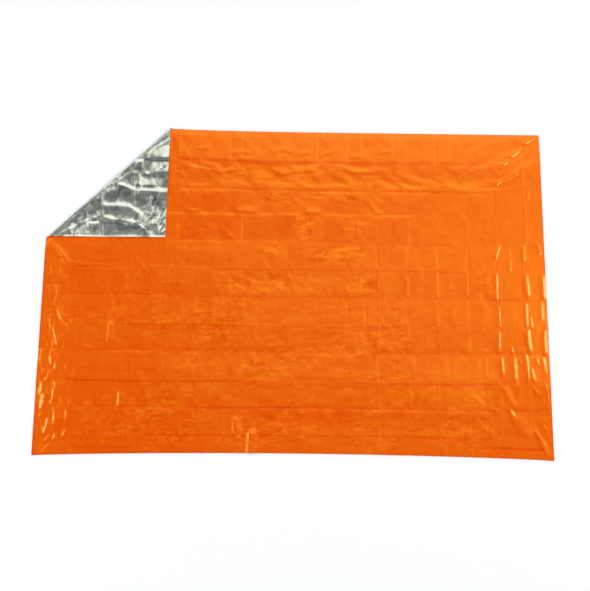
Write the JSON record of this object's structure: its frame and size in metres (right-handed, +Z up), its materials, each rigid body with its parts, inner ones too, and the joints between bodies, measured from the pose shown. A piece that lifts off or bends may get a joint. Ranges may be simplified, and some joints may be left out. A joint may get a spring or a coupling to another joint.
{
  "type": "emergency foil blanket",
  "caption": "Thin rectangular metallised film blanket, orange on its face and silver on its back, spread flat with the creases of its packet fold and a corner turned over.",
  "frame": {"origin": "middle of the blanket's plan, on the surface that it lies on", "axes": "+X along the blanket's length, +Y across it towards the long edge with the turned corner, which is at -X +Y, and +Z up through the orange face"},
  "size_m": [2.13, 1.4208, 0.0227],
  "materials": {
    "orange_film": "glossy metallised film, orange on the face and bright silver on the back"
  },
  "bodies": {
    "root": {"blanket": "orange_film"}
  },
  "joints": []
}
